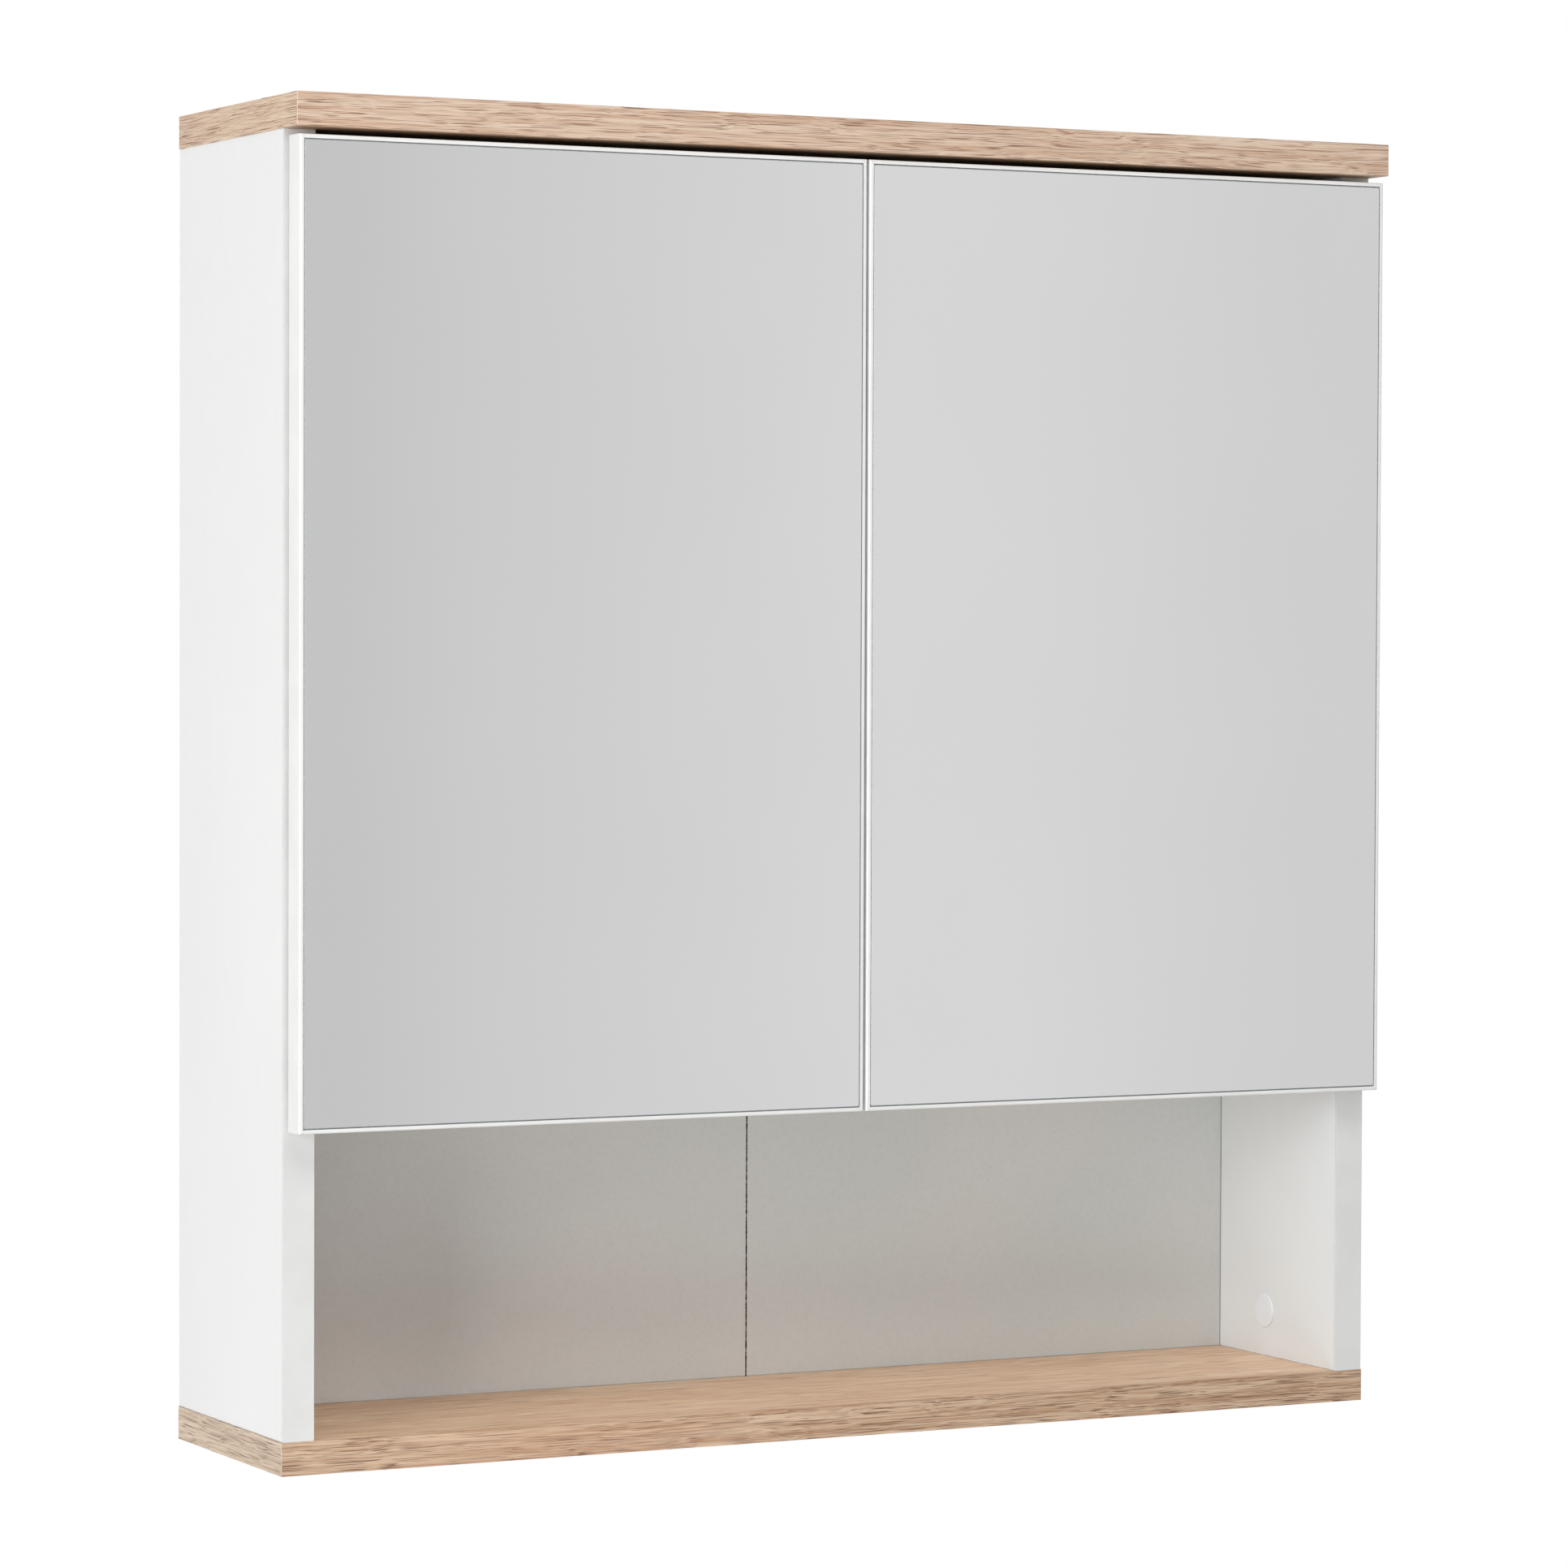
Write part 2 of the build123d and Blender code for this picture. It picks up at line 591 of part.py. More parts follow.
for side, sign in sides.items():
    with BuildPart() as core:
        block((sign * core_low_x, sign * core_high_x), (core_front_y, door_rear_y),
              (core_base_z, core_top_z))
        for hinge_z in hinge_zs.values():
            with BuildSketch(door_plane(sign, hinge_z)):
                cup_outline(cup_play)
            extrude(amount=cup_depth + cup_play, mode=Mode.SUBTRACT)
            for reach in (-wing_screw_reach, wing_screw_reach):
                head = (sign * cup_screw_x, cup_screw_y, hinge_z + reach)
                rod(head, (0, -1, 0), cup_screw_length, screw_radius + screw_play,
                    mode=Mode.SUBTRACT)
                countersink(head, (0, -1, 0), grow=screw_play, mode=Mode.SUBTRACT)
    finish(core, f"door_core_{side}")

    with BuildPart() as mirror:
        block((sign * (core_low_x + mirror_play), sign * (core_high_x - mirror_play)),
              (door_front_y, core_front_y),
              (core_base_z + mirror_play, core_top_z - mirror_play))
    finish(mirror, f"door_mirror_{side}")

    # top and bottom bands stand between the two upright ones, with hairline butt joints
    with BuildPart() as bands:
        for edge_x, inner_edge_x in ((door_high_x, core_high_x), (door_low_x, core_low_x)):
            block((sign * edge_x, sign * inner_edge_x), (door_front_y, door_rear_y),
                  (door_base_z, door_top_z))
        for edge_z, inner_edge_z in ((door_top_z, core_top_z), (door_base_z, core_base_z)):
            block((sign * (core_low_x + band_joint), sign * (core_high_x - band_joint)),
                  (door_front_y, door_rear_y), (edge_z, inner_edge_z))
        front = lying_at(bands.edges(), Axis.Y, door_front_y)
        outline = [
            *lying_at(front.filter_by(Axis.Z), Axis.X, sign * door_high_x),
            *lying_at(front.filter_by(Axis.Z), Axis.X, sign * door_low_x),
            *lying_at(front.filter_by(Axis.X), Axis.Z, door_top_z),
            *lying_at(front.filter_by(Axis.X), Axis.Z, door_base_z),
        ]
        fillet(outline, band_front_round)
        rear = lying_at(bands.edges().filter_by(Axis.Z), Axis.Y, door_rear_y)
        fillet(lying_at(rear, Axis.X, sign * door_high_x), band_hinge_round)
    finish(bands, f"door_bands_{side}")

    for hinge_name, hinge_z in hinge_zs.items():
        with BuildPart() as cup:
            with BuildSketch(door_plane(sign, hinge_z)):
                cup_outline(0)
            extrude(amount=cup_depth)
            # flange wings on the back of the door, one above and one below the cup
            with BuildSketch(door_plane(sign, hinge_z)):
                with Locations(((wing_inner + wing_outer) / 2, 0)):
                    RectangleRounded(wing_outer - wing_inner, 2 * wing_reach, wing_round)
            extrude(amount=-wing_thickness)
            with BuildSketch(door_plane(sign, hinge_z, -wing_thickness)):
                cup_outline(-cup_wall)
            extrude(amount=cup_depth - cup_floor + wing_thickness, mode=Mode.SUBTRACT)
            for reach in (-wing_screw_reach, wing_screw_reach):
                head = (sign * cup_screw_x, cup_screw_y, hinge_z + reach)
                rod(head, (0, -1, 0), wing_thickness, screw_radius + screw_play,
                    mode=Mode.SUBTRACT)
                countersink(head, (0, -1, 0), grow=screw_play, mode=Mode.SUBTRACT)
            rod((sign * pivot_x, pivot_y, hinge_z - cup_round_radius), (0, 0, 1),
                2 * cup_round_radius, pin_r + pin_seat, mode=Mode.SUBTRACT)
        finish(cup, f"hinge_cup_{side}_{hinge_name}")

    with BuildPart() as hinge_pins:
        for hinge_z in hinge_zs.values():
            rod((sign * pivot_x, pivot_y, hinge_z - cup_round_radius), (0, 0, 1),
                2 * cup_round_radius, pin_r)
    finish(hinge_pins, f"hinge_pins_{side}")

    with BuildPart() as cup_screws:
        for hinge_z in hinge_zs.values():
            for reach in (-wing_screw_reach, wing_screw_reach):
                flat_screw((sign * cup_screw_x, cup_screw_y, hinge_z + reach), (0, -1, 0),
                           cup_screw_length)
    finish(cup_screws, f"hinge_cup_screws_{side}")

    with BuildPart() as bumpers:
        for bumper_x in bumper_xs:
            rod((sign * bumper_x, door_rear_y, bumper_z), (0, 1, 0), bumper_thickness,
                bumper_radius)
    finish(bumpers, f"door_bumpers_{side}")
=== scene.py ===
import math

import bpy
import numpy as np
from mathutils import Matrix, Vector


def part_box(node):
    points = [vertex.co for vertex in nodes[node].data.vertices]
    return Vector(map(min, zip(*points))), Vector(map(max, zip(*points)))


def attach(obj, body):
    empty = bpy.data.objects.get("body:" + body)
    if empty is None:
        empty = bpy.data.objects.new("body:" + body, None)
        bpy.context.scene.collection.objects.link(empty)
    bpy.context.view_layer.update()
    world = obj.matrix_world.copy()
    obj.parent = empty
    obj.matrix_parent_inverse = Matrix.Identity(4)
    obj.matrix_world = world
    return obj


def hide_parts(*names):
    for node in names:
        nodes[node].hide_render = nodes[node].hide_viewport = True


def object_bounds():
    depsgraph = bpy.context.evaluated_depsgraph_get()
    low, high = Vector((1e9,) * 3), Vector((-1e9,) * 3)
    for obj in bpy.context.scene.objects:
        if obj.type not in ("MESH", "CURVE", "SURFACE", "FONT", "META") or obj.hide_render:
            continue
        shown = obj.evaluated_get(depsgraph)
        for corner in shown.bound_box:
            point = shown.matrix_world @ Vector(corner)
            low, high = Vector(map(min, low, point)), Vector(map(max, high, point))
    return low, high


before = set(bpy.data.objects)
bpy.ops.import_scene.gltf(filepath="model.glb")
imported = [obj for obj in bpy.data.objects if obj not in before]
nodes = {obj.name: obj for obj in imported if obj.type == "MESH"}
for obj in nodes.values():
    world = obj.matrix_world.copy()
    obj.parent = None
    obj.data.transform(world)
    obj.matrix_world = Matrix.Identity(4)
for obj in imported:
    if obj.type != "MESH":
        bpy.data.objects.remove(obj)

# Hanging mirror cabinet: finishes, fine shapes, room and camera. Metres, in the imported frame.
cad_low, cad_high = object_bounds()

MM = 0.001
panel_inner_x = -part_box("side_panel_left")[1].x       # inner face of the side panels
half_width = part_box("side_panel_right")[1].x          # outer face of the side panels
back_front_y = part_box("back_panel_left")[0].y         # front face of the folding back
niche_floor_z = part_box("bottom_board")[1].z           # top face of the bottom board
band_cut = 0.45 * MM                                  # thickness of the thin bands, at their ends
sharp_turn = math.radians(32)                         # faces that turn by more meet in a sharp edge
board_print, band_print = 0.8, 1.45                   # fineness of the oak print


def tint(red, green, blue):
    """A display colour from 0 to 255 as linear light, by the sRGB curve."""
    share = np.array([red, green, blue]) / 255
    light = np.where(share <= 0.04045, share / 12.92, ((share + 0.055) / 1.055) ** 2.4)
    return (*light.tolist(), 1.0)


def dimmed(colour, share):
    """A slightly darker tone of a colour."""
    return tuple(share * part for part in colour[:3]) + (1.0,)


class Finish:
    """A material made of procedural layers on the piece's own coordinates."""

    def __init__(self, name, colour, roughness, metallic=0.0, specular=0.5):
        self.material = bpy.data.materials.new(name)
        self.material.use_nodes = True
        self.tree = self.material.node_tree
        self.shader = self.tree.nodes["Principled BSDF"]
        self.set("Base Color", colour)
        self.set("Roughness", roughness)
        self.set("Metallic", metallic)
        self.set("Specular IOR Level", specular)
        coordinates = self.add("ShaderNodeTexCoord")
        self.place = coordinates.outputs["Object"]
        self.facing = coordinates.outputs["Normal"]

    def add(self, kind, settings=(), **inputs):
        """A node with its settings and inputs; an input is a number, a colour or a socket."""
        made = self.tree.nodes.new(kind)
        for key, value in dict(settings).items():
            setattr(made, key, value)
        for key, value in inputs.items():
            self.feed(made.inputs[key.replace("_", " ")], value)
        return made

    def feed(self, socket, value):
        if isinstance(value, bpy.types.NodeSocket):
            self.tree.links.new(value, socket)
        else:
            socket.default_value = value

    def set(self, name, value):
        self.feed(self.shader.inputs[name], value)

    def stretched(self, scale, turn=(0, 0, 0), source=None):
        """Coordinates scaled per axis: a feature is one over the scale long on each axis."""
        return self.add("ShaderNodeMapping", Vector=source or self.place, Scale=scale,
                        Rotation=turn).outputs["Vector"]

    def cloud(self, source, detail=3.0, roughness=0.5):
        """Soft noise whose features are as long as the coordinates say."""
        return self.add("ShaderNodeTexNoise", Vector=source, Scale=1.0, Detail=detail,
                        Roughness=roughness, Distortion=0.0).outputs["Fac"]

    def cells(self, source, output="Distance"):
        """A pattern of cells: the distance to the middle of each, or its own random colour."""
        return self.add("ShaderNodeTexVoronoi", {"feature": "F1"}, Vector=source,
                        Scale=1.0).outputs[output]

    def rise(self, value, low, high, start=0.0, end=1.0):
        """A smooth step: start below low, end above high."""
        step = self.add("ShaderNodeMapRange", {"interpolation_type": "SMOOTHSTEP"}, Value=value)
        for index, limit in enumerate((low, high, start, end)):
            step.inputs[index + 1].default_value = limit
        return step.outputs["Result"]

    def span(self, value, low, high, start, end):
        """A straight map of one range to another, held at its ends."""
        line = self.add("ShaderNodeMapRange", Value=value)
        for index, limit in enumerate((low, high, start, end)):
            line.inputs[index + 1].default_value = limit
        return line.outputs["Result"]

    def sum(self, operation, first, second=0.0):
        """A step of arithmetic on one or two values."""
        made = self.add("ShaderNodeMath", {"operation": operation})
        self.feed(made.inputs[0], first)
        self.feed(made.inputs[1], second)
        return made.outputs["Value"]

    def axes(self, source):
        split = self.add("ShaderNodeSeparateXYZ", Vector=source).outputs
        return split["X"], split["Y"], split["Z"]

    def along(self, axis):
        """How far the surface faces along one axis, 0 to 1, whichever way."""
        return self.sum("ABSOLUTE", self.axes(self.facing)["XYZ".index(axis)])

    def between(self, share, first, second, blend="MIX"):
        """A share of the second colour laid over the first."""
        mixed = self.add("ShaderNodeMix", {"data_type": "RGBA", "blend_type": blend})
        self.feed(mixed.inputs[0], share)
        self.feed(mixed.inputs[6], first)
        self.feed(mixed.inputs[7], second)
        return mixed.outputs[2]

    def either(self, share, first, second):
        """One vector or the other."""
        mixed = self.add("ShaderNodeMix", {"data_type": "VECTOR"})
        self.feed(mixed.inputs[0], share)
        self.feed(mixed.inputs[4], first)
        self.feed(mixed.inputs[5], second)
        return mixed.outputs[1]

    def bands(self, value, stops):
        """A colour that runs through (place, colour) stops."""
        ramp = self.add("ShaderNodeValToRGB", Fac=value)
        line = ramp.color_ramp.elements
        while len(line) < len(stops):
            line.new(0.5)
        for element, (place, colour) in zip(line, stops):
            element.position = place
            element.color = colour
        return ramp.outputs["Color"]

    def relief(self, height, depth, below=None):
        """Raises the surface by a height from 0 to 1 times a depth in metres."""
        bump = self.add("ShaderNodeBump", Height=height, Distance=depth, Strength=1.0)
        if below is not None:
            self.feed(bump.inputs["Normal"], below)
        return bump.outputs["Normal"]


# ---------------------------------------------------------------- board and foil finishes
def chipboard(finish):
    """Pressed wood chips: flat flakes a few millimetres long in several browns."""
    flat = finish.stretched((260, 260, 620))
    chips = finish.cells(flat, output="Color")
    tone = finish.axes(chips)[0]
    colour = finish.bands(tone, (
        (0.0, tint(150, 118, 84)),
        (0.45, tint(190, 156, 116)),
        (0.8, tint(212, 184, 146)),
        (1.0, tint(120, 92, 64)),
    ))
    height = finish.sum("ADD", finish.cells(flat), finish.cloud(finish.stretched((900, 900, 900))))
    return colour, height


def oak_streaks(finish, light, dark, pore, on_end, fineness):
    """Oak print: pale and tan bands, gently waved fibres, cream lenses and thin dark pores, all
    drawn out along X, or along Y on the end bands. Finer print has thinner, denser pores."""
    if on_end is not None:
        turned = finish.stretched((1, 1, 1), turn=(0, 0, math.pi / 2))
        place = finish.either(on_end, finish.place, turned)
    else:
        place = finish.place
    wander = finish.cloud(finish.stretched((16, 60, 60), source=place), detail=2)
    lift = finish.span(wander, 0.3, 0.7, -0.6 * MM, 0.6 * MM)
    offset = finish.add("ShaderNodeCombineXYZ", X=0.0, Y=lift, Z=lift).outputs["Vector"]
    waved = finish.add("ShaderNodeVectorMath", {"operation": "ADD"})
    finish.feed(waved.inputs[0], place)
    finish.feed(waved.inputs[1], offset)
    waved = waved.outputs["Vector"]

    def fibres(length, breadth, detail, roughness=0.5):
        scale = (1 / length, fineness / breadth, fineness / breadth)
        return finish.cloud(finish.stretched(scale, source=waved), detail=detail,
                            roughness=roughness)

    broad = fibres(160 * MM, 5.0 * MM, 3)
    bands = fibres(90 * MM, 1.3 * MM, 2)
    lenses = fibres(60 * MM, 0.7 * MM, 1)
    lines = fibres(34 * MM, 0.44 * MM, 1)
    hairs = fibres(22 * MM, 0.22 * MM, 1)
    tone = finish.sum("ADD", finish.sum("MULTIPLY", broad, 0.45),
                      finish.sum("MULTIPLY", bands, 0.55))
    colour = finish.between(finish.rise(tone, 0.36, 0.64), dark, light)
    colour = finish.between(finish.rise(lenses, 0.56, 0.68, 0.0, 0.55), colour, light)
    colour = finish.between(finish.rise(hairs, 0.52, 0.72, 0.0, 0.40), colour, dark)
    pores = finish.rise(lines, 0.535, 0.65)
    colour = finish.between(finish.sum("MULTIPLY", pores, 0.85), colour, pore)
    height = finish.sum("SUBTRACT", finish.sum("MULTIPLY", hairs, 0.3), pores)
    return colour, height, pores


def oak_foil(name, light, dark, pore):
    """Oak foil on the boards' faces, raw chipboard where a board was sawn."""
    finish = Finish(name, light, 0.5, specular=0.4)
    colour, height, pores = oak_streaks(finish, light, dark, pore, None, board_print)
    raw, raw_height = chipboard(finish)
    sawn = finish.rise(finish.along("Z"), 0.6, 0.5)
    # the groove for the back tore small chips from the foil along its front lip
    lip = finish.sum("ABSOLUTE", finish.sum("SUBTRACT", finish.axes(finish.place)[1],
                                            back_front_y - 0.1 * MM))
    ragged = finish.cloud(finish.stretched((420, 90, 90)), detail=4, roughness=0.7)
    chips = finish.sum("MULTIPLY", finish.rise(lip, 0.7 * MM, 0.3 * MM),
                       finish.rise(ragged, 0.58, 0.64))
    colour = finish.between(chips, colour, tint(96, 70, 48))
    finish.set("Base Color", finish.between(sawn, colour, raw))
    finish.set("Roughness", finish.span(pores, 0, 1, 0.46, 0.62))
    normal = finish.relief(height, 0.02 * MM)
    finish.set("Normal", finish.relief(finish.sum("MULTIPLY", raw_height, sawn), 0.25 * MM,
                                       normal))
    return finish.material


def oak_band(name, light, dark, pore, end_cast, end_share):
    """Thin oak edge band: grain along its length, and its pale core where its end was cut."""
    finish = Finish(name, light, 0.46, specular=0.4)
    x, y, _ = finish.axes(finish.place)
    outside = finish.rise(finish.sum("ABSOLUTE", x), half_width - 0.05 * MM,
                          half_width + 0.05 * MM)
    at_front = finish.rise(finish.along("Y"), 0.7, 0.6)
    on_end = finish.sum("MULTIPLY", outside, at_front)
    colour, height, pores = oak_streaks(finish, light, dark, pore, on_end, band_print)
    # the end bands are paler and a little yellower than the front ones
    colour = finish.between(finish.sum("MULTIPLY", on_end, end_share), colour, end_cast)
    end_pores = finish.sum("MULTIPLY", finish.sum("MULTIPLY", on_end, pores), 0.6)
    colour = finish.between(end_pores, colour, pore)
    behind = finish.sum("MAXIMUM", finish.sum("GREATER_THAN", y, BAND_FRONTS[name] + band_cut),
                        finish.sum("LESS_THAN", finish.along("X"), 0.6))
    colour = finish.between(behind, tint(238, 226, 204), colour)
    finish.set("Base Color", colour)
    finish.set("Roughness", finish.span(pores, 0, 1, 0.42, 0.6))
    finish.set("Normal", finish.relief(height, 0.03 * MM))
    return finish.material


def melamine(name, colour, face_axis):
    """White melamine: a faint orange peel and cloudiness; chipboard on the sawn sides."""
    roughness = 0.42
    finish = Finish(name, colour, roughness, specular=0.4)
    cloudy = finish.cloud(finish.stretched((9, 9, 6)), detail=3)
    brushed = finish.cloud(finish.stretched((160, 160, 40)), detail=3)
    grey = dimmed(colour, 0.972)
    mix = finish.sum("ADD", finish.sum("MULTIPLY", cloudy, 0.75),
                     finish.sum("MULTIPLY", brushed, 0.25))
    white = finish.between(finish.rise(mix, 0.3, 0.7), grey, colour)
    across, _, level = finish.axes(finish.place)
    if face_axis == "X":
        # painted light: the inner faces are tinted a slightly cooler white to offset the warm light
        # bounced off the oak
        painted_cool_inner = finish.rise(finish.sum("ABSOLUTE", across), half_width - 2 * MM,
                             half_width - 4 * MM)
        white = finish.between(painted_cool_inner, white, (0.905, 0.94, 0.955, 1.0), blend="MULTIPLY")
    # painted shade: a thin, uneven dark shadow line where a side panel stands on the bottom board
    uneven = finish.cloud(finish.stretched((120, 160, 0)), detail=4, roughness=0.7)
    reach = finish.span(uneven, 0.3, 0.7, 0.12 * MM, 0.42 * MM)
    line = finish.sum("LESS_THAN", finish.sum("SUBTRACT", level, niche_floor_z), reach)
    white = finish.between(finish.sum("MULTIPLY", line, 0.62), white, tint(86, 74, 64))
    peel = finish.cloud(finish.stretched((900, 900, 900)), detail=2)
    grain = finish.cloud(finish.stretched((3200, 3200, 3200)), detail=2)
    height = finish.sum("ADD", peel, finish.sum("MULTIPLY", grain, 0.4))
    finish.set("Roughness", finish.span(peel, 0.35, 0.65, roughness - 0.05, roughness + 0.06))
    normal = finish.relief(height, 0.010 * MM)
    raw, raw_height = chipboard(finish)
    sawn = finish.rise(finish.along(face_axis), 0.6, 0.5)
    white = finish.between(sawn, white, raw)
    normal = finish.relief(finish.sum("MULTIPLY", raw_height, sawn), 0.25 * MM, normal)
    finish.set("Base Color", white)
    finish.set("Normal", normal)
    return finish.material


def satin_band(name, colour, roughness):
    """Satin plastic edge band: almost smooth, with fine lines from the trimming scraper."""
    finish = Finish(name, colour, roughness, specular=0.5)
    scraped = finish.cloud(finish.stretched((1400, 1400, 60)), detail=3, roughness=0.6)
    soft = finish.cloud(finish.stretched((45, 45, 45)), detail=2)
    grey = dimmed(colour, 0.965)
    finish.set("Base Color", finish.between(finish.rise(soft, 0.35, 0.65), grey, colour))
    finish.set("Roughness", finish.span(scraped, 0.3, 0.7, roughness - 0.06, roughness + 0.08))
    finish.set("Normal", finish.relief(scraped, 0.008 * MM))
    return finish.material


def hardboard(name):
    """Lacquered hardboard: faint fibres in front, a brown screen pattern behind, a torn fold."""
    finish = Finish(name, tint(216, 218, 217), 0.5, specular=0.35)
    fibres = finish.cloud(finish.stretched((420, 420, 520)), detail=4, roughness=0.65)
    patches = finish.cloud(finish.stretched((6, 6, 6)), detail=2)
    colour = finish.between(finish.rise(patches, 0.35, 0.65), tint(213, 217, 216),
                            tint(219, 219, 217))
    colour = finish.between(finish.rise(fibres, 0.42, 0.7, 0.0, 0.10), colour,
                            tint(172, 170, 166))
    x, _, z = finish.axes(finish.place)
    # the fold: the lacquer is torn back from the gap by an uneven fraction of a millimetre
    coarse = finish.cloud(finish.stretched((0, 0, 260)), detail=5, roughness=0.75)
    torn = finish.span(coarse, 0.42, 0.72, 0.22 * MM, 0.75 * MM)
    from_fold = finish.sum("ABSOLUTE", x)
    bare = finish.sum("LESS_THAN", from_fold, torn)
    colour = finish.between(bare, colour, tint(56, 46, 40))
    # painted shade: the dark gap of the groove at both side panels, and a thin shadow line just
    # over the oak
    groove = finish.rise(from_fold, panel_inner_x - 0.55 * MM, panel_inner_x - 0.25 * MM)
    colour = finish.between(finish.sum("MULTIPLY", groove, 0.75), colour, tint(70, 68, 66))
    above = finish.sum("SUBTRACT", z, niche_floor_z)
    painted_shadow_over_oak = finish.rise(above, 0.5 * MM, 0.2 * MM, 0.0, 0.45)
    colour = finish.between(painted_shadow_over_oak, colour, tint(90, 78, 66))
    # rear: fibre board with the print of the pressing screen
    wires = 2 * math.pi / (1.5 * MM)
    screen = finish.sum("MULTIPLY",
                        finish.sum("SINE", finish.sum("MULTIPLY", x, wires)),
                        finish.sum("SINE", finish.sum("MULTIPLY", z, wires)))
    brown = finish.between(finish.rise(fibres, 0.3, 0.7), tint(118, 84, 56), tint(156, 118, 82))
    rear = finish.rise(finish.axes(finish.facing)[1], -0.4, 0.4)
    finish.set("Base Color", finish.between(rear, colour, brown))
    finish.set("Roughness", finish.span(rear, 0, 1, 0.48, 0.8))
    height = finish.sum("ADD", finish.sum("MULTIPLY", fibres, 0.12),
                        finish.sum("MULTIPLY", finish.sum("MULTIPLY", screen, 0.5), rear))
    height = finish.sum("SUBTRACT", height, finish.sum("MULTIPLY", bare, 1.2))
    finish.set("Normal", finish.relief(height, 0.12 * MM))
    return finish.material


# ---------------------------------------------------------------- glass, plastic and metal
def silvering(name):
    """Silvered float glass seen from the front: a clean mirror with a slight green cast."""
    finish = Finish(name, (0.905, 0.912, 0.907, 1.0), 0.015, metallic=1.0)
    film = finish.cloud(finish.stretched((9, 9, 9)), detail=4)
    finish.set("Roughness", finish.span(film, 0.35, 0.7, 0.008, 0.022))
    finish.set("Base Color", finish.between(finish.rise(film, 0.3, 0.7),
                                            (0.898, 0.906, 0.900, 1.0),
                                            (0.910, 0.917, 0.912, 1.0)))
    return finish.material


def glass_arris(name):
    """The ground arris and edge of the glass: grey green and slightly frosted."""
    finish = Finish(name, tint(150, 155, 155), 0.22, specular=0.7)
    ground = finish.cloud(finish.stretched((1500, 1500, 1500)), detail=3)
    finish.set("Base Color", finish.between(finish.rise(ground, 0.3, 0.7), tint(132, 138, 138),
                                            tint(164, 170, 170)))
    finish.set("Roughness", finish.span(ground, 0.3, 0.7, 0.15, 0.34))
    finish.set("Normal", finish.relief(ground, 0.01 * MM))
    return finish.material


def backing_paint(name):
    """Grey protective paint behind the silver."""
    finish = Finish(name, tint(120, 124, 126), 0.6)
    mottled = finish.cloud(finish.stretched((220, 220, 220)), detail=3)
    finish.set("Base Color", finish.between(finish.rise(mottled, 0.3, 0.7), tint(108, 112, 115),
                                            tint(132, 136, 138)))
    finish.set("Normal", finish.relief(mottled, 0.02 * MM))
    return finish.material


def moulded_plastic(name, colour, roughness):
    """Injection-moulded plastic with a fine spark-eroded surface."""
    finish = Finish(name, colour, roughness, specular=0.5)
    eroded = finish.cloud(finish.stretched((2400, 2400, 2400)), detail=2)
    soft = finish.cloud(finish.stretched((120, 120, 120)), detail=2)
    grey = dimmed(colour, 0.97)
    finish.set("Base Color", finish.between(finish.rise(soft, 0.3, 0.7), grey, colour))
    finish.set("Roughness", finish.span(eroded, 0.3, 0.7, roughness - 0.05, roughness + 0.08))
    finish.set("Normal", finish.relief(eroded, 0.008 * MM))
    return finish.material


def silicone(name):
    """Milky clear silicone of the door bumpers."""
    finish = Finish(name, tint(236, 238, 238), 0.25)
    finish.set("Transmission Weight", 0.55)
    finish.set("IOR", 1.41)
    dusty = finish.cloud(finish.stretched((700, 700, 700)), detail=3)
    finish.set("Roughness", finish.span(dusty, 0.3, 0.7, 0.18, 0.38))
    finish.set("Normal", finish.relief(dusty, 0.01 * MM))
    return finish.material


def plated_steel(name, colour, dark, roughness, spangle=0.0):
    """Pressed and plated steel: drawing lines, faint stains, and zinc flowers where wanted."""
    finish = Finish(name, colour, roughness, metallic=1.0)
    drawn = finish.cloud(finish.stretched((260, 260, 2600)), detail=3, roughness=0.6)
    stain = finish.cloud(finish.stretched((140, 140, 140)), detail=4, roughness=0.6)
    tone = finish.between(finish.rise(stain, 0.35, 0.7), colour, dark)
    if spangle:
        flower = finish.axes(finish.cells(finish.stretched((240, 240, 240)), output="Color"))[0]
        tone = finish.between(finish.sum("MULTIPLY", flower, spangle), tone, dark)
    finish.set("Base Color", tone)
    mixed = finish.sum("ADD", finish.sum("MULTIPLY", drawn, 0.5),
                       finish.sum("MULTIPLY", stain, 0.5))
    finish.set("Roughness", finish.span(mixed, 0.35, 0.65, roughness - 0.08, roughness + 0.12))
    finish.set("Normal", finish.relief(drawn, 0.01 * MM))
    return finish.material


def cast_zinc(name):
    """Die-cast zinc of the cams: dull grey with small pits."""
    finish = Finish(name, (0.42, 0.43, 0.45, 1.0), 0.45, metallic=1.0)
    grainy = finish.cloud(finish.stretched((1300, 1300, 1300)), detail=4, roughness=0.7)
    finish.set("Base Color", finish.between(finish.rise(grainy, 0.35, 0.7),
                                            (0.47, 0.48, 0.50, 1.0), (0.30, 0.31, 0.33, 1.0)))
    finish.set("Roughness", finish.span(grainy, 0.3, 0.7, 0.36, 0.6))
    finish.set("Normal", finish.relief(grainy, 0.05 * MM))
    return finish.material


def beech(name):
    """Beech dowel: straight grain with short dark flecks."""
    finish = Finish(name, tint(212, 174, 128), 0.6)
    fibre = finish.cloud(finish.stretched((900, 900, 60)), detail=3, roughness=0.6)
    flecks = finish.cloud(finish.stretched((1500, 1500, 260)), detail=2)
    colour = finish.between(finish.rise(fibre, 0.35, 0.65), tint(198, 158, 112),
                            tint(222, 188, 146))
    finish.set("Base Color", finish.between(finish.rise(flecks, 0.62, 0.7, 0.0, 0.6), colour,
                                            tint(150, 106, 70)))
    finish.set("Normal", finish.relief(fibre, 0.08 * MM))
    return finish.material


